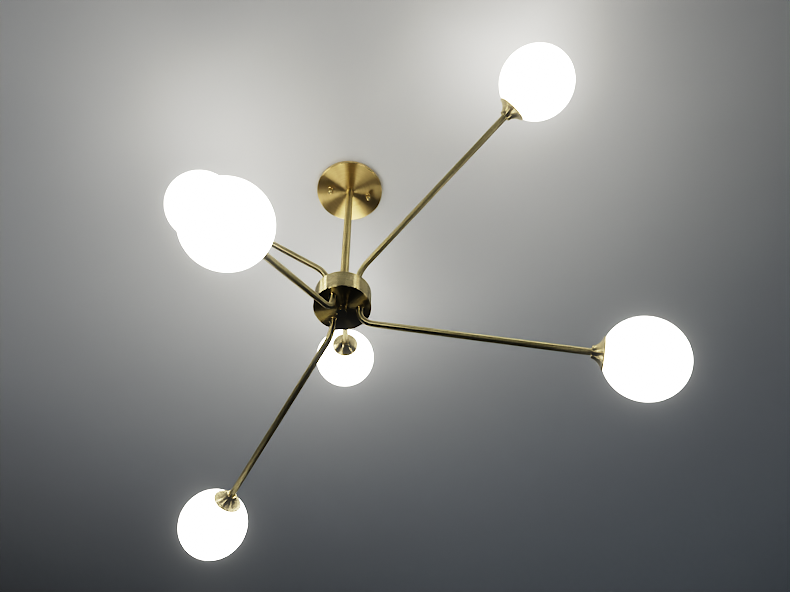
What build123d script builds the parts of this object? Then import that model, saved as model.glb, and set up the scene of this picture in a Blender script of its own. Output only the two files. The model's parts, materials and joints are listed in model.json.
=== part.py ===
from build123d import *
from math import cos, sin, radians, sqrt
import os

# Six-arm sputnik chandelier on a rigid downrod. Millimetres, +Z up.
# Origin: the ceiling plane at the middle of the mounting strap. Everything hangs below z = 0.
# X runs along the strap, through its two studs.

# ---- driving dimensions ------------------------------------------------------------------------
CANOPY_R, CANOPY_DEPTH, CANOPY_WALL, CANOPY_EDGE = 59.5, 7.0, 1.2, 0.8
STRAP_L, STRAP_W, STRAP_T = 94.0, 18.0, 2.0
SLOT_SPACING, SLOT_L, SLOT_R = 50.0, 12.0, 2.25
STUD_SPACING, STUD_R = 70.0, 2.0
ROD_R, ROD_BORE, ROD_L = 6.35, 5.55, 300.0
NIPPLE_R, NIPPLE_BORE = 4.0, 2.8
HUB_R, HUB_H, HUB_WALL, HUB_PLATE = 41.0, 33.5, 2.0, 3.0
ARM_RING = 25.6                      # radius of the ring of arm bases on the hub
ARM_R, ARM_BORE = 4.5, 3.5
ARM_FOOT = 43.0                      # tube's end to bend corner, the same in every arm
RISE_UP, RISE_DOWN = 33.0, 29.0      # hub face to bend corner, above and below: how far each tube is screwed in
ARM_BEND, ARM_TILT = 28.0, 18.0      # bend radius, tilt in degrees
ARM_LONG, ARM_SHORT = 368.4, 213.4   # bend corner to globe centre
GLOBE_R, GLOBE_WALL = 51.6, 2.5
NECK_R, NECK_BORE, NECK_TOP = 10.5, 9.0, 53.0
CUP_R = 21.6
RUN = 0.05                           # radial clearance of a running fit

Z_FACE = -CANOPY_DEPTH               # canopy's lower face
Z_TOP = Z_FACE - ROD_L               # hub's top face
Z_BOT = Z_TOP - HUB_H                # hub's bottom face

# name, +1 on the hub's top or -1 on its base, azimuth of the base, azimuth of the arm at rest, length
ARMS = [
    ("arm_1", +1, -44.5, -55.3, ARM_LONG),
    ("arm_2", +1, 75.5, 81.7, ARM_SHORT),
    ("arm_3", +1, 195.5, 191.25, ARM_SHORT),
    ("arm_4", -1, -9.3, -17.6, ARM_LONG),
    ("arm_5", -1, 110.7, 112.0, ARM_LONG),
    ("arm_6", -1, 230.7, 229.1, ARM_SHORT),
]
UPPER = [(ARM_RING * cos(radians(b)), ARM_RING * sin(radians(b))) for n, s, b, a, l in ARMS if s > 0]
LOWER = [(ARM_RING * cos(radians(b)), ARM_RING * sin(radians(b))) for n, s, b, a, l in ARMS if s < 0]

os.makedirs("parts", exist_ok=True)

# ---- ceiling end -------------------------------------------------------------------------------
with BuildPart() as mounting_strap:
    with BuildSketch(Plane.XY.offset(-STRAP_T)):
        SlotOverall(STRAP_L, STRAP_W)
        Circle(5.25, mode=Mode.SUBTRACT)
        with Locations((-SLOT_SPACING / 2, 0), (SLOT_SPACING / 2, 0)):
            SlotOverall(SLOT_L, 2 * SLOT_R, mode=Mode.SUBTRACT)
        with Locations((-STUD_SPACING / 2, 0), (STUD_SPACING / 2, 0)):
            Circle(STUD_R + RUN, mode=Mode.SUBTRACT)
    extrude(amount=STRAP_T)
mounting_strap.part.label = "mounting_strap"
export_step(mounting_strap.part, "parts/mounting_strap.step")

# the studs end flush with the strap's upper face
with BuildPart() as strap_studs:
    with BuildSketch(Plane.XY):
        with Locations((-STUD_SPACING / 2, 0), (STUD_SPACING / 2, 0)):
            Circle(STUD_R)
    extrude(amount=-(CANOPY_DEPTH + 10.0))
    chamfer(strap_studs.faces().group_by(Axis.Z)[0].edges(), length=0.4)
strap_studs.part.label = "strap_studs"
export_step(strap_studs.part, "parts/strap_studs.step")

with BuildPart() as stud_locknuts:
    with BuildSketch(Plane.XY.offset(-STRAP_T)):
        with Locations((-STUD_SPACING / 2, 0), (STUD_SPACING / 2, 0)):
            RegularPolygon(3.5, 6, major_radius=False)
            Circle(STUD_R + RUN, mode=Mode.SUBTRACT)
    extrude(amount=-3.2)
stud_locknuts.part.label = "stud_locknuts"
export_step(stud_locknuts.part, "parts/stud_locknuts.step")

# shallow spun disc, open towards the ceiling
with BuildPart() as canopy:
    with BuildSketch(Plane.XZ):
        with BuildLine():
            Polyline(
                (0, Z_FACE), (CANOPY_R, Z_FACE), (CANOPY_R, 0), (CANOPY_R - CANOPY_WALL, 0),
                (CANOPY_R - CANOPY_WALL, Z_FACE + CANOPY_WALL), (0, Z_FACE + CANOPY_WALL), (0, Z_FACE),
            )
        make_face()
    revolve(axis=Axis.Z)
    fillet(canopy.faces().sort_by(Axis.Z)[0].edges().filter_by(GeomType.CIRCLE), radius=CANOPY_EDGE)
    with Locations((0, 0, 0)):
        Hole(NIPPLE_R + 0.15, depth=60)
    with Locations((-STUD_SPACING / 2, 0, 0), (STUD_SPACING / 2, 0, 0)):
        Hole(STUD_R + 0.25, depth=60)
canopy.part.label = "canopy"
export_step(canopy.part, "parts/canopy.step")

# ball nuts: a thin collar against the canopy, a short stem and a ball, with a blind threaded hole from above
with BuildPart() as canopy_ball_nuts:
    for x in (-STUD_SPACING / 2, STUD_SPACING / 2):
        with BuildSketch(Plane(origin=(x, 0, Z_FACE), x_dir=(1, 0, 0), z_dir=(0, -1, 0))):
            with BuildLine():
                Polyline((STUD_R + RUN, 0), (4.6, 0), (4.6, -1.2), (3.2, -1.8), (3.2, -6.1055))
                ThreePointArc((3.2, -6.1055), (4.74, -9.6), (1.0, -14.2333))
                Polyline((1.0, -14.2333), (0, -14.2333), (0, -10.6), (STUD_R + RUN, -10.6), (STUD_R + RUN, 0))
            make_face()
        revolve(axis=Axis((x, 0, 0), (0, 0, 1)))
canopy_ball_nuts.part.label = "canopy_ball_nuts"
export_step(canopy_ball_nuts.part, "parts/canopy_ball_nuts.step")

Z_IN = Z_FACE + CANOPY_WALL          # canopy's floor, seen from inside
with BuildPart() as canopy_washer:
    with BuildSketch(Plane.XY.offset(Z_IN)):
        Circle(9.0)
        Circle(NIPPLE_R + 0.15, mode=Mode.SUBTRACT)
    extrude(amount=1.0)
canopy_washer.part.label = "canopy_washer"
export_step(canopy_washer.part, "parts/canopy_washer.step")

with BuildPart() as canopy_nut:
    with BuildSketch(Plane.XY.offset(Z_IN + 1.0)):
        RegularPolygon(6.5, 6, major_radius=False)
        Circle(NIPPLE_R + RUN, mode=Mode.SUBTRACT)
    extrude(amount=2.4)
canopy_nut.part.label = "canopy_nut"
export_step(canopy_nut.part, "parts/canopy_nut.step")

with BuildPart() as rod_nipple:
    with BuildSketch(Plane.XY.offset(-24.0)):
        Circle(NIPPLE_R)
        Circle(NIPPLE_BORE, mode=Mode.SUBTRACT)
    extrude(amount=24.0 - 3.2)
rod_nipple.part.label = "rod_nipple"
export_step(rod_nipple.part, "parts/rod_nipple.step")

# ---- rod and hub -------------------------------------------------------------------------------
with BuildPart() as downrod:
    with BuildSketch(Plane.XY.offset(Z_TOP)):
        Circle(ROD_R)
        Circle(ROD_BORE, mode=Mode.SUBTRACT)
    extrude(amount=ROD_L)
downrod.part.label = "downrod"
export_step(downrod.part, "parts/downrod.step")

with BuildPart() as rod_end_bushes:
    for z0 in (Z_FACE - 15.0, Z_TOP):
        with BuildSketch(Plane.XY.offset(z0)):
            Circle(ROD_BORE - RUN)
            Circle(NIPPLE_R + RUN, mode=Mode.SUBTRACT)
        extrude(amount=15.0)
rod_end_bushes.part.label = "rod_end_bushes"
export_step(rod_end_bushes.part, "parts/rod_end_bushes.step")

# hollow threaded nipple from the rod to the finial; its side hole lets wires out inside the hub
with BuildPart() as hub_spine:
    with BuildSketch(Plane.XY.offset(Z_BOT - 6.5)):
        Circle(NIPPLE_R)
        Circle(NIPPLE_BORE, mode=Mode.SUBTRACT)
    extrude(amount=(Z_TOP + 14.0) - (Z_BOT - 6.5))
    with BuildSketch(Plane.XZ.offset(-10.0)):
        with Locations((0, (Z_TOP + Z_BOT) / 2 - 3.0)):
            SlotOverall(9.0, 4.0, rotation=90)
    extrude(amount=20.0, mode=Mode.SUBTRACT)
hub_spine.part.label = "hub_spine"
export_step(hub_spine.part, "parts/hub_spine.step")

with BuildPart() as hub_washer:
    with BuildSketch(Plane.XY.offset(Z_TOP - HUB_PLATE - 1.0)):
        Circle(9.0)
        Circle(NIPPLE_R + 0.15, mode=Mode.SUBTRACT)
    extrude(amount=1.0)
hub_washer.part.label = "hub_washer"
export_step(hub_washer.part, "parts/hub_washer.step")

with BuildPart() as hub_nut:
    with BuildSketch(Plane.XY.offset(Z_TOP - HUB_PLATE - 1.0 - 4.0)):
        RegularPolygon(6.5, 6, major_radius=False)
        Circle(NIPPLE_R + RUN, mode=Mode.SUBTRACT)
    extrude(amount=4.0)
hub_nut.part.label = "hub_nut"
export_step(hub_nut.part, "parts/hub_nut.step")

# drum: top wall and side wall in one spun piece, open below
with BuildPart() as hub_drum:
    with BuildSketch(Plane.XY.offset(Z_BOT)):
        Circle(HUB_R)
    extrude(amount=HUB_H)
    with BuildSketch(Plane.XY.offset(Z_BOT)):
        Circle(HUB_R - HUB_WALL)
    extrude(amount=HUB_H - HUB_PLATE, mode=Mode.SUBTRACT)
    with Locations((0, 0, Z_TOP)):
        Hole(NIPPLE_R + 0.15, depth=60)
    with Locations(*[(x, y, Z_TOP) for x, y in UPPER]):
        Hole(ARM_R + RUN, depth=20)
    fillet(hub_drum.faces().sort_by(Axis.Z)[-1].outer_wire().edges(), radius=0.6)
    chamfer(hub_drum.faces().sort_by(Axis.Z)[0].outer_wire().edges(), length=0.4)
hub_drum.part.label = "hub_drum"
export_step(hub_drum.part, "parts/hub_drum.step")

# base plate, let into the drum and flush with its lower edge
with BuildPart() as hub_base_plate:
    with BuildSketch(Plane.XY.offset(Z_BOT)):
        Circle(HUB_R - HUB_WALL - 0.1)
        Circle(NIPPLE_R + 0.15, mode=Mode.SUBTRACT)
        with Locations(*LOWER):
            Circle(ARM_R + RUN, mode=Mode.SUBTRACT)
    extrude(amount=HUB_PLATE)
hub_base_plate.part.label = "hub_base_plate"
export_step(hub_base_plate.part, "parts/hub_base_plate.step")

# round cap nut, blind threaded hole from above
with BuildPart() as hub_finial:
    with BuildSketch(Plane.XZ):
        with BuildLine():
            Polyline(
                (NIPPLE_R + RUN, Z_BOT), (7.4, Z_BOT), (7.4, Z_BOT - 11.0), (0, Z_BOT - 11.0),
                (0, Z_BOT - 7.0), (NIPPLE_R + RUN, Z_BOT - 7.0), (NIPPLE_R + RUN, Z_BOT),
            )
        make_face()
    revolve(axis=Axis.Z)
    fillet(hub_finial.faces().sort_by(Axis.Z)[0].edges(), radius=0.8)
hub_finial.part.label = "hub_finial"
export_step(hub_finial.part, "parts/hub_finial.step")

# ---- arms --------------------------------------------------------------------------------------
# Each arm stands on the hub along up = +Z or -Z, bends through 72 degrees and runs straight out to
# its globe. s is measured from the globe's centre back along the arm.
TUBE_END_S = 59.0
sphere_s = sqrt(GLOBE_R ** 2 - NECK_R ** 2)
inner_r = GLOBE_R - GLOBE_WALL
inner_s = sqrt(inner_r ** 2 - NECK_BORE ** 2)

for name, side, base_az, rest_az, length in ARMS:
    up = Vector(0, 0, side)
    out = Vector(cos(radians(rest_az)), sin(radians(rest_az)), 0)
    base = Vector(ARM_RING * cos(radians(base_az)), ARM_RING * sin(radians(base_az)), Z_TOP if side > 0 else Z_BOT)
    run = out * cos(radians(ARM_TILT)) + up * sin(radians(ARM_TILT))
    rise = RISE_UP if side > 0 else RISE_DOWN
    foot = ARM_FOOT - rise
    corner = base + up * rise
    centre = corner + run * length
    arm_plane = Plane(origin=base, x_dir=out, z_dir=out.cross(up))      # local x out, local y up
    flat = Plane(origin=base, x_dir=out, z_dir=up)
    turn = out.cross(up)
    globe_plane = Plane(origin=centre, x_dir=turn, z_dir=turn.cross(run * -1))   # local x radius, local y s
    globe_axis = Axis(centre, run * -1)
    end = length - TUBE_END_S
    ex, ey = end * cos(radians(ARM_TILT)), rise + end * sin(radians(ARM_TILT))

    # bent tube, from inside the hub to inside the cup
    with BuildPart() as arm_tube:
        with BuildLine(arm_plane) as tube_path:
            FilletPolyline((0, -foot), (0, rise), (ex, ey), radius=ARM_BEND)
        with BuildSketch(Plane(origin=base - up * foot, x_dir=out, z_dir=up)) as tube_section:
            Circle(ARM_R)
            Circle(ARM_BORE, mode=Mode.SUBTRACT)
        sweep(sections=tube_section.sketch, path=tube_path.line)
    arm_tube.part.label = name + "_tube"
    export_step(arm_tube.part, "parts/" + name + "_tube.step")

    # collar on the tube, 0.1 off the hub's face
    with BuildPart() as arm_flange:
        with BuildSketch(flat.offset(0.1)):
            Circle(6.5)
            Circle(ARM_R + RUN, mode=Mode.SUBTRACT)
        extrude(amount=1.8)
        chamfer(arm_flange.edges().filter_by(GeomType.CIRCLE).filter_by(lambda e: e.radius > 6).sort_by(Axis(base, up))[-1], length=0.5)
    arm_flange.part.label = name + "_flange"
    export_step(arm_flange.part, "parts/" + name + "_flange.step")

    # hex nut on the tube's end inside the hub
    with BuildPart() as arm_locknut:
        with BuildSketch(flat.offset(-HUB_PLATE - 0.1)):
            RegularPolygon(7.0, 6, major_radius=False)
            Circle(ARM_R + RUN, mode=Mode.SUBTRACT)
        extrude(amount=-5.0)
    arm_locknut.part.label = name + "_locknut"
    export_step(arm_locknut.part, "parts/" + name + "_locknut.step")

    # trumpet cup: thin lip, concave flare, round shoulder with a recess about the tube; a short sleeve
    # inside takes the globe's neck
    with BuildPart() as arm_cup:
        with BuildSketch(globe_plane):
            with BuildLine():
                Polyline((20.6, 47.7), (CUP_R, 47.7), (CUP_R, 49.2), (21.1, 49.7))
                Spline((21.1, 49.7), (17.2, 51.2), (13.0, 54.1), (9.8, 57.8), (8.4, 61.2))
                Polyline(
                    (8.4, 61.2), (8.2, 62.3), (7.6, 62.8), (5.8, 62.8), (5.4, 61.9), (ARM_R + RUN, 61.9),
                    (ARM_R + RUN, 59.6), (7.0, 59.6), (8.6, 57.2),
                    (NECK_R + 0.1, 54.75), (NECK_R + 0.1, 51.4), (11.9, 51.4), (11.9, 53.55),
                )
                Spline((11.9, 53.55), (16.4, 50.4), (20.6, 48.9))
                Line((20.6, 48.9), (20.6, 47.7))
            make_face()
        revolve(axis=globe_axis)
    arm_cup.part.label = name + "_cup"
    export_step(arm_cup.part, "parts/" + name + "_cup.step")

    # two-pin ceramic lamp holder, its collar behind, its two pin holes towards the globe's centre
    with BuildPart() as arm_lampholder:
        with BuildSketch(globe_plane):
            with BuildLine():
                Polyline((0, 39.0), (8.2, 39.0), (8.2, 54.2), (6.2, 56.6), (4.4, 57.6), (4.4, TUBE_END_S), (0, TUBE_END_S), (0, 39.0))
            make_face()
        revolve(axis=globe_axis)
        with BuildSketch(Plane(origin=centre - run * 39.0, x_dir=turn, z_dir=run * -1)):
            with Locations((-4.5, 0), (4.5, 0)):
                Circle(1.3)
        extrude(amount=10.0, mode=Mode.SUBTRACT)
    arm_lampholder.part.label = name + "_lampholder"
    export_step(arm_lampholder.part, "parts/" + name + "_lampholder.step")

    # capsule lamp: ceramic base, clear body with a round end, two pins
    with BuildPart() as arm_bulb:
        with BuildSketch(globe_plane):
            with BuildLine():
                Polyline((0, 38.7), (6.8, 38.7), (6.8, 31.0), (7.5, 30.0), (7.5, 0))
                ThreePointArc((7.5, 0), (5.3033, -5.3033), (1.0, -7.433))
                Polyline((1.0, -7.433), (0, -7.433), (0, 38.7))
            make_face()
        revolve(axis=globe_axis)
        with BuildSketch(Plane(origin=centre - run * 38.7, x_dir=turn, z_dir=run * -1)):
            with Locations((-4.5, 0), (4.5, 0)):
                Circle(1.1)
        extrude(amount=8.0)
    arm_bulb.part.label = name + "_bulb"
    export_step(arm_bulb.part, "parts/" + name + "_bulb.step")

    # hollow globe with a short neck that stands in the cup's sleeve
    with BuildPart() as arm_globe:
        with BuildSketch(globe_plane):
            with BuildLine():
                ThreePointArc((0, -GLOBE_R), (GLOBE_R, 0), (NECK_R, sphere_s))
                Polyline((NECK_R, sphere_s), (NECK_R, NECK_TOP), (NECK_BORE, NECK_TOP), (NECK_BORE, inner_s))
                ThreePointArc((NECK_BORE, inner_s), (inner_r, 0), (0, -inner_r))
                Line((0, -inner_r), (0, -GLOBE_R))
            make_face()
        revolve(axis=globe_axis)
    arm_globe.part.label = name + "_globe"
    export_step(arm_globe.part, "parts/" + name + "_globe.step")

    print(name, "globe centre", [round(v, 2) for v in centre], "corner", [round(v, 2) for v in corner],
          "tube", round(arm_tube.part.volume, 1), "globe", round(arm_globe.part.volume, 1))
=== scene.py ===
import json
import math

import bpy
from mathutils import Matrix, Vector


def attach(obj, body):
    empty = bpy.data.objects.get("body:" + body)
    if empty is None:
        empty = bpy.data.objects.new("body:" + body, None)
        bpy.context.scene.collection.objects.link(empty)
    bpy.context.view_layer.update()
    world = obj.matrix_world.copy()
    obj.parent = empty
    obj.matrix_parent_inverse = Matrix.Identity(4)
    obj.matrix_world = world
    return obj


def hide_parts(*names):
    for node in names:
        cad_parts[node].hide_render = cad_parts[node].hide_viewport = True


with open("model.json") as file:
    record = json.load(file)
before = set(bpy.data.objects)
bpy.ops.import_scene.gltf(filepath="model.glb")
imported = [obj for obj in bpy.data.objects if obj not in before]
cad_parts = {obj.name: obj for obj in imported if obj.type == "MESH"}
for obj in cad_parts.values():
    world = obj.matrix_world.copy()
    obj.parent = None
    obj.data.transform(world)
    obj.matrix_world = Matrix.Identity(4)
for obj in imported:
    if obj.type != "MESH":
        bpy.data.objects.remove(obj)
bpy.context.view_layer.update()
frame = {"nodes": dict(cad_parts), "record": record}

NODES = frame["nodes"]
scene = bpy.context.scene
MM = 0.001


# ---- camera ------------------------------------------------------------------------------------
def make_camera():
    """The photograph's viewpoint: below the lamp and in front of it, looking up."""
    yaw, pitch, roll = math.radians(-14.2), math.radians(51.06), math.radians(2.56)
    right = Vector((math.cos(yaw), math.sin(yaw), 0))
    level = Vector((-math.sin(yaw), math.cos(yaw), 0))
    fwd = level * math.cos(pitch) + Vector((0, 0, math.sin(pitch)))
    down = fwd.cross(right)
    x = right * math.cos(roll) + down * math.sin(roll)
    y = right * math.sin(roll) - down * math.cos(roll)
    fwd = (fwd - x * (0.55 / 601.17) + y * (0.25 / 601.17)).normalized()
    x = (x - fwd * x.dot(fwd)).normalized()
    y = x.cross(fwd)
    m = Matrix((x, y, -fwd)).transposed().to_4x4()
    m.translation = Vector((-0.05998, -0.54785, -0.99390))
    data = bpy.data.cameras.new("camera")
    data.sensor_width = 36.0
    data.lens = 601.17 / 790 * 36
    data.clip_start, data.clip_end = 0.02, 60
    cam = bpy.data.objects.new("camera", data)
    scene.collection.objects.link(cam)
    cam.matrix_world = m
    scene.camera = cam


make_camera()


# ---- node helpers ------------------------------------------------------------------------------
class Tree:
    """Short names for building a material's nodes."""

    def __init__(self, name):
        self.mat = bpy.data.materials.new(name)
        self.mat.use_nodes = True
        self.nt = self.mat.node_tree
        self.nt.nodes.clear()
        self.out = self.nt.nodes.new("ShaderNodeOutputMaterial")
        self.bsdf = self.nt.nodes.new("ShaderNodeBsdfPrincipled")
        self.nt.links.new(self.bsdf.outputs[0], self.out.inputs[0])

    def put(self, socket, value):
        if isinstance(value, bpy.types.NodeSocket):
            self.nt.links.new(value, socket)
        else:
            socket.default_value = value

    def position(self):
        return self.nt.nodes.new("ShaderNodeTexCoord").outputs["Object"]

    def attribute(self, name, output="Vector"):
        n = self.nt.nodes.new("ShaderNodeAttribute")
        n.attribute_name = name
        return n.outputs[output]

    def math(self, op, a, b=0.0, c=0.0, clamp=False):
        n = self.nt.nodes.new("ShaderNodeMath")
        n.operation, n.use_clamp = op, clamp
        for i, v in enumerate((a, b, c)):
            self.put(n.inputs[i], v)
        return n.outputs[0]

    def xyz(self, v):
        n = self.nt.nodes.new("ShaderNodeSeparateXYZ")
        self.put(n.inputs[0], v)
        return n.outputs

    def combine(self, x=0.0, y=0.0, z=0.0):
        n = self.nt.nodes.new("ShaderNodeCombineXYZ")
        for i, v in enumerate((x, y, z)):
            self.put(n.inputs[i], v)
        return n.outputs[0]

    def noise(self, vector, scale, detail=2.0, rough=0.5):
        n = self.nt.nodes.new("ShaderNodeTexNoise")
        self.put(n.inputs["Vector"], vector)
        n.inputs["Scale"].default_value = scale
        n.inputs["Detail"].default_value = detail
        n.inputs["Roughness"].default_value = rough
        return n.outputs["Fac"]

    def ranged(self, v, lo, hi, to_lo=0.0, to_hi=1.0):
        n = self.nt.nodes.new("ShaderNodeMapRange")
        self.put(n.inputs["Value"], v)
        for k, x in (("From Min", lo), ("From Max", hi), ("To Min", to_lo), ("To Max", to_hi)):
            n.inputs[k].default_value = x
        return n.outputs["Result"]

    def blend(self, fac, a, b):
        n = self.nt.nodes.new("ShaderNodeMix")
        n.data_type = "RGBA"
        self.put(n.inputs["Factor"], fac)
        for s, v in ((n.inputs[6], a), (n.inputs[7], b)):
            self.put(s, v if isinstance(v, bpy.types.NodeSocket) else (*v, 1))
        return n.outputs[2]

    def bump(self, height, strength, distance):
        n = self.nt.nodes.new("ShaderNodeBump")
        n.inputs["Strength"].default_value = strength
        n.inputs["Distance"].default_value = distance
        self.put(n.inputs["Height"], height)
        return n.outputs[0]

    def set(self, **values):
        for k, v in values.items():
            self.put(self.bsdf.inputs[k.replace("_", " ")], v)
        return self.mat


def brass(name, dark, light, rough, aniso, about_z, lines=2600.0, bump=0.2, painted_rim_highlight=None):
    """Brass turned or belt-brushed on a lathe: fine rings, slow colour drift, faint handling marks, and a
    highlight stretched across the rings. about_z pieces turn about the Z axis; the others carry two
    attributes, grain, the direction across the rings, and lathe, the place along the profile.
    The last argument, if given, is (axis, from, to): the stretch of r or z, in metres, where an edge is painted lighter
    and made glossier, a painted highlight standing in for the rim's reflection."""
    t = Tree(name)
    p = t.position()
    if about_z:
        x, y, z = t.xyz(p)
        r = t.math("SQRT", t.math("ADD", t.math("MULTIPLY", x, x), t.math("MULTIPLY", y, y)))
        safe = t.math("MAXIMUM", r, 0.0005)
        lathe = t.combine(t.math("SUBTRACT", r, z), t.math("MULTIPLY", t.math("DIVIDE", x, safe), 0.0006),
                          t.math("MULTIPLY", t.math("DIVIDE", y, safe), 0.0006))
        n = t.nt.nodes.new("ShaderNodeTangent")
        n.direction_type, n.axis = "RADIAL", "Z"
        tangent, turn = n.outputs[0], 0.25
    else:
        lathe, tangent, turn = t.attribute("lathe"), t.attribute("grain"), 0.0
    fine = t.noise(lathe, lines, 3.0, 0.65)
    broad = t.noise(lathe, lines / 9, 2.0, 0.5)
    drift = t.noise(p, 24.0, 3.0, 0.6)
    hands = t.noise(p, 75.0, 4.0, 0.65)
    tone = t.math("ADD", t.math("MULTIPLY", fine, 0.4), t.math("ADD", t.math("MULTIPLY", broad, 0.25), t.math("MULTIPLY", drift, 0.35)))
    colour = t.blend(t.ranged(tone, 0.34, 0.66), dark, light)
    roughness = t.math("ADD", t.ranged(fine, 0.3, 0.7, rough - 0.035, rough + 0.035), t.ranged(hands, 0.35, 0.7, -0.015, 0.035))
    # painted highlight: a lighter, glossier band at the edge, standing in for the reflection along the rim
    if painted_rim_highlight:
        along = {"r": r, "z": z}[painted_rim_highlight[0]] if about_z else t.xyz(lathe)[0]
        rim_highlight_mask = t.ranged(t.math("ADD", along, t.math("MULTIPLY", t.math("SUBTRACT", hands, 0.5), 0.0015)), painted_rim_highlight[1], painted_rim_highlight[2])
        colour = t.blend(rim_highlight_mask, colour, tuple(min(1.0, c * 1.12) for c in light))
        roughness = t.math("MULTIPLY", roughness, t.ranged(rim_highlight_mask, 0, 1, 1.0, 0.8))
    return t.set(Base_Color=colour, Metallic=1.0, Roughness=roughness, Anisotropic=aniso, Anisotropic_Rotation=turn,
                 Tangent=tangent, Normal=t.bump(fine, bump, 0.00001))


def opal_glass(name, glow):
    """Opal glass, lit from inside: even and white, a little warmer and dimmer at the neck, with a glossy skin."""
    t = Tree(name)
    p = t.position()
    drift = t.noise(p, 14.0, 2.0, 0.5)
    colour = t.blend(t.ranged(drift, 0.3, 0.7), (0.91, 0.90, 0.87), (0.95, 0.94, 0.92))
    t.set(Base_Color=colour, Roughness=t.ranged(drift, 0.3, 0.7, 0.14, 0.20), IOR=1.5)
    if glow:
        s = t.xyz(t.attribute("lathe"))[0]
        near = t.ranged(s, 0.034, 0.0515)
        lit = t.blend(t.math("POWER", near, 1.6), (1.0, 0.965, 0.89), (0.20, 0.175, 0.12))
        t.set(Emission_Color=lit, Emission_Strength=glow)
    return t.mat


def plated_steel(name):
    t = Tree(name)
    p = t.position()
    drift = t.noise(p, 60.0, 3.0, 0.6)
    fine = t.noise(p, 1800.0, 2.0, 0.6)
    colour = t.blend(t.ranged(drift, 0.3, 0.7), (0.48, 0.49, 0.48), (0.62, 0.63, 0.64))
    return t.set(Base_Color=colour, Metallic=1.0, Roughness=t.ranged(fine, 0.3, 0.7, 0.28, 0.40), Normal=t.bump(fine, 0.2, 0.00002))


def ceramic(name):
    t = Tree(name)
    p = t.position()
    fine = t.noise(p, 900.0, 3.0, 0.6)
    colour = t.blend(t.ranged(fine, 0.3, 0.7), (0.80, 0.78, 0.73), (0.88, 0.86, 0.82))
    return t.set(Base_Color=colour, Roughness=t.ranged(fine, 0.3, 0.7, 0.6, 0.75), Normal=t.bump(fine, 0.2, 0.00003))


def frosted(name):
    t = Tree(name)
    p = t.position()
    fine = t.noise(p, 700.0, 2.0, 0.6)
    colour = t.blend(t.ranged(fine, 0.3, 0.7), (0.90, 0.89, 0.85), (0.95, 0.94, 0.91))
    t.set(Base_Color=colour, Roughness=t.ranged(fine, 0.3, 0.7, 0.3, 0.4), Emission_Color=(1.0, 0.93, 0.82, 1), Emission_Strength=4.0)
    t.mat.cycles.emission_sampling = "NONE"
    return t.mat


# the canopy's outer rim carries a painted highlight, a lighter band for its edge reflection
CANOPY_BRASS = brass("canopy_brass", (0.68, 0.52, 0.235), (0.88, 0.705, 0.365), 0.33, 0.97, True, painted_rim_highlight=("r", 0.0575, 0.0592))
# painted shade: the down-facing hub base plate gets a darker brass than the hub, standing in for the dark it reflects
DARKENED_PLATE_BRASS = brass("plate_brass_painted_shade", (0.46, 0.385, 0.155), (0.62, 0.525, 0.245), 0.34, 0.96, True)
HUB_BRASS = brass("hub_brass", (0.62, 0.535, 0.29), (0.84, 0.74, 0.46), 0.28, 1.0, True, bump=0.06)
ROD_BRASS = brass("rod_brass", (0.68, 0.575, 0.275), (0.90, 0.775, 0.45), 0.36, 1.0, True, bump=0.02)
TUBE_BRASS = brass("tube_brass_turned", (0.66, 0.58, 0.31), (0.90, 0.81, 0.52), 0.33, 1.0, False, bump=0.02)
CUP_BRASS = brass("cup_brass", (0.76, 0.645, 0.34), (0.95, 0.84, 0.53), 0.29, 1.0, False, bump=0.02)
POLISHED = brass("polished_brass_turned", (0.74, 0.61, 0.30), (0.92, 0.79, 0.46), 0.15, 0.6, False, bump=0.03)
GLOBE, GLOBE_INSIDE = opal_glass("opal_glass_lit", 8.2), opal_glass("opal_glass_inside", 0)
STEEL, CERAMIC, FROSTED = plated_steel("zinc_plated"), ceramic("ceramic_white"), frosted("frosted_capsule")
BY_SLOT = {"zinc_steel": STEEL, "holder_ceramic": CERAMIC, "bulb_glass": FROSTED, "opal_glass": GLOBE_INSIDE,
           "brushed_brass": HUB_BRASS, "tube_brass": ROD_BRASS, "polished_brass": HUB_BRASS}
BY_NODE = {"canopy": CANOPY_BRASS, "hub_base_plate": DARKENED_PLATE_BRASS}
SLOT_OF = {s["node"]: s["material_slot"] for s in frame["record"]["subparts"]}
for name, o in NODES.items():
    mat = BY_NODE.get(name, BY_SLOT[SLOT_OF[name]])
    for s in o.material_slots:
        s.material = mat


# ---- mesh helpers ------------------------------------------------------------------------------
def new_piece(name, verts, faces, mats, body, node, grain=None, lathe=None, face_mat=None, sharp=35):
    me = bpy.data.meshes.new(name)
    me.from_pydata([tuple(v) for v in verts], [], faces)
    for m in mats:
        me.materials.append(m)
    if face_mat:
        me.polygons.foreach_set("material_index", face_mat)
    for key, values in (("grain", grain), ("lathe", lathe)):
        if values:
            a = me.attributes.new(key, "FLOAT_VECTOR", "POINT")
            a.data.foreach_set("vector", [c for v in values for c in v])
    me.shade_smooth()
    me.set_sharp_from_angle(angle=math.radians(sharp))
    me.validate()
    o = bpy.data.objects.new(name, me)
    scene.collection.objects.link(o)
    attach(o, body)
    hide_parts(node)
    return o


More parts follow.
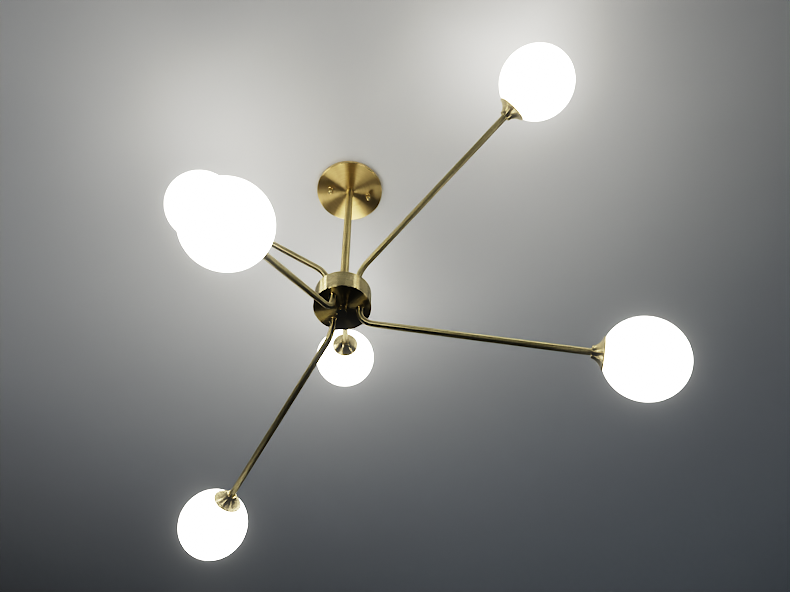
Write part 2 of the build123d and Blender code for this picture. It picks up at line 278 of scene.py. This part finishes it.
def spin(points, origin, axis, segments, lathe_scale=1.0):
    """A closed profile of (r, s) points turned about axis through origin: vertices, faces, grain and lathe.
    A point with r = 0 is a pole."""
    axis = axis.normalized()
    u = axis.orthogonal().normalized()
    w = axis.cross(u)
    verts, grain, lathe, rings = [], [], [], []
    run = 0.0
    n = len(points)
    for i, (r, s) in enumerate(points):
        if i:
            run += math.dist(points[i - 1], (r, s))
        a, b = points[i - 1 if i else n - 1], points[(i + 1) % n]
        dr, ds = b[0] - a[0], b[1] - a[1]
        k = math.hypot(dr, ds) or 1.0
        ring = []
        for j in range(1 if r < 1e-9 else segments):
            f = 2 * math.pi * j / segments
            d = u * math.cos(f) + w * math.sin(f)
            ring.append(len(verts))
            verts.append(origin + d * r + axis * s)
            grain.append((d * (dr / k) + axis * (ds / k)).normalized() if r > 1e-9 else u)
            lathe.append((run * lathe_scale, 0.0006 * math.cos(f), 0.0006 * math.sin(f)))
        rings.append(ring)
    faces, source = [], []
    for i in range(n):
        a, b = rings[i], rings[(i + 1) % n]
        if len(a) == 1 and len(b) == 1:
            continue
        for j in range(segments):
            k = (j + 1) % segments
            if len(a) == 1:
                faces.append((a[0], b[k], b[j]))
            elif len(b) == 1:
                faces.append((a[j], a[k], b[0]))
            else:
                faces.append((a[j], a[k], b[k], b[j]))
            source.append(i)
    return verts, faces, grain, lathe, source


def outward(verts, faces):
    """Turns all the faces over if the closed mesh is inside out."""
    v = 0.0
    for f in faces:
        for k in range(1, len(f) - 1):
            v += verts[f[0]].dot(verts[f[k]].cross(verts[f[k + 1]]))
    return faces if v > 0 else [tuple(reversed(f)) for f in faces]


def curve_through(points, steps):
    """A smooth line through the points: Catmull-Rom, steps to a span."""
    out = []
    for i in range(len(points) - 1):
        p0, p1, p2 = points[max(i - 1, 0)], points[i], points[i + 1]
        p3 = points[min(i + 2, len(points) - 1)]
        for k in range(steps):
            t = k / steps
            out.append(tuple(0.5 * (2 * b + (c - a) * t + (2 * a - 5 * b + 4 * c - d) * t * t + (3 * b - a - 3 * c + d) * t ** 3)
                             for a, b, c, d in zip(p0, p1, p2, p3)))
    return out + [points[-1]]


# ---- the arms' own measures, as in the CAD source ------------------------------------------------
Z_TOP, Z_BOT, RING = -307.0, -340.5, 25.6
TUBE_R, TUBE_BORE = 4.5, 3.5
FOOT_LENGTH, RISE = 43.0, {1: 33.0, -1: 29.0}
BEND, TILT = 28.0, math.radians(18.0)
GLOBE_R, GLOBE_WALL, NECK_R, NECK_BORE, NECK_TOP = 51.6, 2.5, 10.5, 9.0, 53.0
TUBE_END = 59.0
ARMS = [
    ("arm_1", +1, -44.5, -55.3, 368.4), ("arm_2", +1, 75.5, 81.7, 213.4), ("arm_3", +1, 195.5, 191.25, 213.4),
    ("arm_4", -1, -9.3, -17.6, 368.4), ("arm_5", -1, 110.7, 112.0, 368.4), ("arm_6", -1, 230.7, 229.1, 213.4),
]


def arm_frame(side, base_az, rest_az, length):
    up = Vector((0, 0, side))
    out = Vector((math.cos(math.radians(rest_az)), math.sin(math.radians(rest_az)), 0))
    base = Vector((RING * math.cos(math.radians(base_az)), RING * math.sin(math.radians(base_az)), Z_TOP if side > 0 else Z_BOT))
    run = out * math.cos(TILT) + up * math.sin(TILT)
    corner = base + up * RISE[side]
    return up, out, base, run, corner, corner + run * length


def make_tube(name, side, up, out, base, run, corner, length, segments=48):
    """Bent tube with its bore, as one closed wall."""
    turn = out.cross(up)
    cut = BEND * math.tan(math.radians(36))
    foot = FOOT_LENGTH - RISE[side]
    line = []                                           # place, direction
    for k in range(5):
        line.append((base - up * foot + up * (foot + RISE[side] - cut) * k / 5, up))
    middle = corner - up * cut + out * BEND
    for k in range(33):
        a = math.radians(72) * k / 32
        line.append((middle - out * BEND * math.cos(a) + up * BEND * math.sin(a), up * math.cos(a) + out * math.sin(a)))
    straight = length - TUBE_END - cut
    for k in range(1, 25):
        line.append((corner + run * (cut + straight * k / 24), run))
    verts, faces, grain, lathe, along = [], [], [], [], 0.0
    walls = [(TUBE_R, line), (TUBE_BORE, list(reversed(line)))]
    rings = []
    for radius, path in walls:
        for i, (p, d) in enumerate(path):
            if i:
                along += (p - path[i - 1][0]).length
            n = d.cross(turn).normalized()
            ring = []
            for j in range(segments):
                f = 2 * math.pi * j / segments
                q = n * math.cos(f) + turn * math.sin(f)
                ring.append(len(verts))
                verts.append((p + q * radius) * MM)
                grain.append(d)
                lathe.append((along * MM, 0.0006 * math.cos(f), 0.0006 * math.sin(f)))
            rings.append(ring)
    for i in range(len(rings)):
        a, b = rings[i], rings[(i + 1) % len(rings)]
        for j in range(segments):
            k = (j + 1) % segments
            faces.append((a[j], a[k], b[k], b[j]))
    return new_piece(name + "_tube_turned", verts, outward(verts, faces), [TUBE_BRASS], name, name + "_tube", grain, lathe)


CUP_PROFILE = (
    [(21.1, 47.7), (21.45, 47.8), (21.6, 48.1), (21.6, 48.9), (21.45, 49.3), (21.1, 49.62)]
    + curve_through([(20.6, 49.85), (17.2, 51.2), (13.0, 54.1), (9.8, 57.8), (8.45, 61.0)], 8)
    + [(7.05 + 1.42 * math.cos(math.radians(a)), 61.36 + 1.42 * math.sin(math.radians(a))) for a in range(-8, 185, 12)]
    + [(5.45, 60.9), (4.55, 60.9), (4.55, 59.6), (7.0, 59.6), (8.6, 57.2), (10.6, 54.75), (10.6, 51.4),
       (11.9, 51.4), (11.9, 53.45)]
    + curve_through([(12.0, 53.5), (16.4, 50.4), (20.3, 48.95)], 5)
    + [(20.55, 48.7), (20.6, 48.2), (20.7, 47.85)]
)


def make_cup(name, centre, run):
    profile = [(r * MM, s * MM) for r, s in CUP_PROFILE]
    verts, faces, grain, lathe, _ = spin(profile, centre * MM, -run, 96)
    return new_piece(name + "_cup_turned", verts, outward(verts, faces), [CUP_BRASS], name, name + "_cup", grain, lathe, sharp=50)


def make_globe(name, centre, run):
    """Outer and inner sphere with the neck between them; only the outer skin gives light."""
    s_out = math.sqrt(GLOBE_R ** 2 - NECK_R ** 2)
    r_in = GLOBE_R - GLOBE_WALL
    s_in = math.sqrt(r_in ** 2 - NECK_BORE ** 2)
    top, top_in = math.acos(s_out / GLOBE_R), math.acos(s_in / r_in)
    outer = [(GLOBE_R * math.sin(a), GLOBE_R * math.cos(a)) for a in (math.pi - (math.pi - top) * k / 56 for k in range(57))]
    inner = [(r_in * math.sin(a), r_in * math.cos(a)) for a in (top_in + (math.pi - top_in) * k / 32 for k in range(33))]
    outer[0], inner[-1] = (0.0, -GLOBE_R), (0.0, -r_in)
    # the neck rises straight from where it meets the ball, with no fillet at the shoulder
    neck = [(NECK_R, s_out + 0.5), (NECK_R, NECK_TOP - 0.4), (NECK_R - 0.3, NECK_TOP), (NECK_BORE + 0.3, NECK_TOP), (NECK_BORE, NECK_TOP - 0.4)]
    profile = outer + neck + inner
    verts, faces, grain, _, source = spin([(r * MM, s * MM) for r, s in profile], centre * MM, -run, 112)
    axis = -run
    lathe = [((v - centre * MM).dot(axis), 0, 0) for v in verts]
    fixed = outward(verts, faces)
    return new_piece(name + "_globe_blown", verts, fixed, [GLOBE, GLOBE_INSIDE], name, name + "_globe", None, lathe,
                     [0 if i < len(outer) - 1 else 1 for i in source])


def make_flange(name, up, base):
    profile = [(4.55, 0.1), (6.3, 0.1), (6.45, 0.15), (6.5, 0.3), (6.5, 1.2), (6.4, 1.45), (6.05, 1.8), (5.85, 1.88), (5.6, 1.9), (4.55, 1.9)]
    verts, faces, grain, lathe, _ = spin([(r * MM, s * MM) for r, s in profile], base * MM, up, 64)
    return new_piece(name + "_flange_turned", verts, outward(verts, faces), [POLISHED], name, name + "_flange", grain, lathe)


for arm, side, base_az, rest_az, length in ARMS:
    up, out, base, run, corner, centre = arm_frame(side, base_az, rest_az, length)
    make_tube(arm, side, up, out, base, run, corner, length)
    make_cup(arm, centre, run)
    make_globe(arm, centre, run)
    make_flange(arm, up, base)


def make_ball_nuts():
    start = math.asin(3.2 / 4.74)
    ball = [(4.74 * math.sin(a), -9.6 + 4.74 * math.cos(a)) for a in (start + (math.pi - start) * k / 20 for k in range(20))]
    profile = ([(2.05, 0), (4.3, 0), (4.55, -0.15), (4.6, -0.5), (4.55, -0.95), (4.3, -1.2), (3.5, -1.4), (3.25, -1.7), (3.2, -2.4), (3.2, -5.6)]
               + ball + [(0.0, -14.34), (0.0, -10.6), (2.05, -10.6)])
    verts, faces, grain, lathe = [], [], [], []
    for x in (-35.0, 35.0):
        v, f, g, l, _ = spin([(r * MM, s * MM) for r, s in profile], Vector((x, 0, -7.0)) * MM, Vector((0, 0, 1)), 64)
        f = outward(v, f)
        k = len(verts)
        verts += v
        faces += [tuple(i + k for i in q) for q in f]
        grain += g
        lathe += l
    return new_piece("canopy_ball_nuts_turned", verts, faces, [POLISHED], "ceiling_frame", "canopy_ball_nuts", grain, lathe)


make_ball_nuts()


def make_finial():
    """Small cap nut under the hub: a turned barrel with a low domed end and a blind thread."""
    profile = [(4.05, 0), (7.1, 0), (7.3, 0.06), (7.4, 0.3), (7.4, 1.7), (7.2, 1.95), (7.2, 2.3), (7.4, 2.55), (7.4, 9.7)]
    profile += [(6.4 + math.cos(math.radians(a)), 9.8 + math.sin(math.radians(a))) for a in range(12, 84, 12)]
    profile += [(5.6, 10.86), (4.0, 10.94), (2.0, 10.99), (0.0, 11.0), (0.0, 7.0), (4.05, 7.0)]
    verts, faces, grain, lathe, _ = spin([(r * MM, s * MM) for r, s in profile], Vector((0, 0, Z_BOT)) * MM, Vector((0, 0, -1)), 72)
    return new_piece("hub_finial_turned", verts, outward(verts, faces), [POLISHED], "ceiling_frame", "hub_finial", grain, lathe)


make_finial()


# ---- stage -------------------------------------------------------------------------------------
def stage_plane(name, z, half, mat, hole=0.0):
    """A level round sheet, with a round hole in the middle where the ceiling has one for the fixing."""
    verts, faces, n = [], [], 96
    for radius in (half, hole or 0.01):
        verts += [(radius * math.cos(2 * math.pi * k / n), radius * math.sin(2 * math.pi * k / n), z) for k in range(n)]
    faces = [(k, (k + 1) % n, n + (k + 1) % n, n + k) for k in range(n)]
    if not hole:
        faces.append(tuple(range(n, 2 * n)))
    me = bpy.data.meshes.new(name)
    me.from_pydata(verts, [], faces)
    o = bpy.data.objects.new(name, me)
    scene.collection.objects.link(o)
    me.materials.append(mat)
    return o


def paint(name, dark, light, seen_from_below):
    """Matt paint. The ceiling's is only there from below, so that the part can be looked at from all sides."""
    t = Tree(name)
    soft = t.noise(t.position(), 2.5, 3.0, 0.5)
    t.set(Base_Color=t.blend(t.ranged(soft, 0.3, 0.7), dark, light), Roughness=0.9, Specular_IOR_Level=0.2)
    if seen_from_below:
        clear = t.nt.nodes.new("ShaderNodeBsdfTransparent")
        side = t.nt.nodes.new("ShaderNodeNewGeometry")
        mix = t.nt.nodes.new("ShaderNodeMixShader")
        t.put(mix.inputs[0], side.outputs["Backfacing"])
        t.put(mix.inputs[1], clear.outputs[0])
        t.put(mix.inputs[2], t.bsdf.outputs[0])
        t.put(t.out.inputs[0], mix.outputs[0])
    return t.mat


ceiling = stage_plane("stage_ceiling", 0.0006, 3.6, paint("ceiling_paint", (0.74, 0.745, 0.75), (0.76, 0.765, 0.77), True), hole=0.05)
floor = stage_plane("stage_floor", -2.40, 4.6, paint("floor_paint", (0.66, 0.66, 0.65), (0.70, 0.70, 0.69), False))

# brass takes its reflections from the lamps and the ceiling, so nothing else shows in it
floor.visible_glossy = floor.visible_diffuse = False

world = bpy.data.worlds.new("world")
scene.world = world
world.use_nodes = True
wt = world.node_tree
dim = wt.nodes["Background"]
dim.inputs[0].default_value, dim.inputs[1].default_value = (0.80, 0.88, 1.0, 1), 0.008
backdrop = wt.nodes.new("ShaderNodeBackground")
backdrop.inputs[0].default_value, backdrop.inputs[1].default_value = (0.97, 0.985, 1.0, 1), 0.36
path, either = wt.nodes.new("ShaderNodeLightPath"), wt.nodes.new("ShaderNodeMixShader")
wt.links.new(path.outputs["Is Camera Ray"], either.inputs[0])
wt.links.new(dim.outputs[0], either.inputs[1])
wt.links.new(backdrop.outputs[0], either.inputs[2])
wt.links.new(either.outputs[0], wt.nodes["World Output"].inputs[0])


def area(name, at, to, size, power, colour=(1, 1, 1), only=None):
    d = bpy.data.lights.new(name, "AREA")
    d.shape, d.size, d.energy, d.color = "DISK", size, power, colour
    o = bpy.data.objects.new(name, d)
    scene.collection.objects.link(o)
    o.matrix_world = Matrix.Translation(at) @ (Vector(to) - Vector(at)).to_track_quat("-Z", "Y").to_matrix().to_4x4()
    o.visible_glossy = o.visible_camera = False
    if only:
        lit = bpy.data.collections.new(name + "_lights")
        lit.objects.link(only)
        o.light_linking.receiver_collection = lit
    return o


area("soft_ceiling", (-0.72, 0.0, -1.4), (-0.72, 0.0, 0), 1.4, 3.8, (0.93, 0.96, 1.0), ceiling)
area("soft_ceiling_wide", (1.1, 1.0, -1.9), (1.1, 1.0, 0), 2.4, 5.4, (0.80, 0.90, 1.0), ceiling)
area("soft_floor", (0, 0, -0.2), (0, 0, -2.4), 9.0, 230, (1.0, 0.99, 0.97), floor)
top = area("soft_top", (0.5, -0.5, 1.4), (0, 0, 0), 1.2, 14)
top.visible_glossy = True

scene.view_settings.view_transform = "Standard"
scene.view_settings.look = "None"

TONE = [(0.03, 0.012), (0.08, 0.046), (0.2, 0.175), (0.4, 0.41), (0.6, 0.595), (0.85, 0.72), (1.2, 0.83), (2.0, 0.96), (2.9, 1.0)]

# a little light spill round the lamps, as a lens gives
scene.use_nodes = True
comp = scene.node_tree
comp.nodes.clear()
layers = comp.nodes.new("CompositorNodeRLayers")
glare = comp.nodes.new("CompositorNodeGlare")
glare.glare_type = "BLOOM"
glare.quality = "HIGH"
glare.inputs["Threshold"].default_value = 1.0
glare.inputs["Strength"].default_value = 0.06
glare.inputs["Size"].default_value = 0.15
# a camera's tone curve: firm in the darks, with a soft shoulder in the lights. Taken two stops down, so that
# it reaches up to four times white
down = comp.nodes.new("CompositorNodeExposure")
down.inputs["Exposure"].default_value = -2.0
tone = comp.nodes.new("CompositorNodeCurveRGB")
curve = tone.mapping.curves[3]
curve.points[0].location, curve.points[1].location = (0.0, 0.0), (1.0, 1.0)
for x, y in TONE:
    curve.points.new(x / 4, y)
for point in curve.points:
    point.handle_type = "AUTO_CLAMPED"
tone.mapping.update()
# and a little of its sharpening
crisp = comp.nodes.new("CompositorNodeFilter")
crisp.filter_type = "SHARPEN_DIAMOND"
crisp.inputs["Fac"].default_value = 0.10
result = comp.nodes.new("CompositorNodeComposite")
comp.links.new(layers.outputs["Image"], glare.inputs["Image"])
comp.links.new(glare.outputs["Image"], down.inputs["Image"])
comp.links.new(down.outputs["Image"], tone.inputs["Image"])
comp.links.new(tone.outputs["Image"], crisp.inputs["Image"])
comp.links.new(crisp.outputs["Image"], result.inputs["Image"])
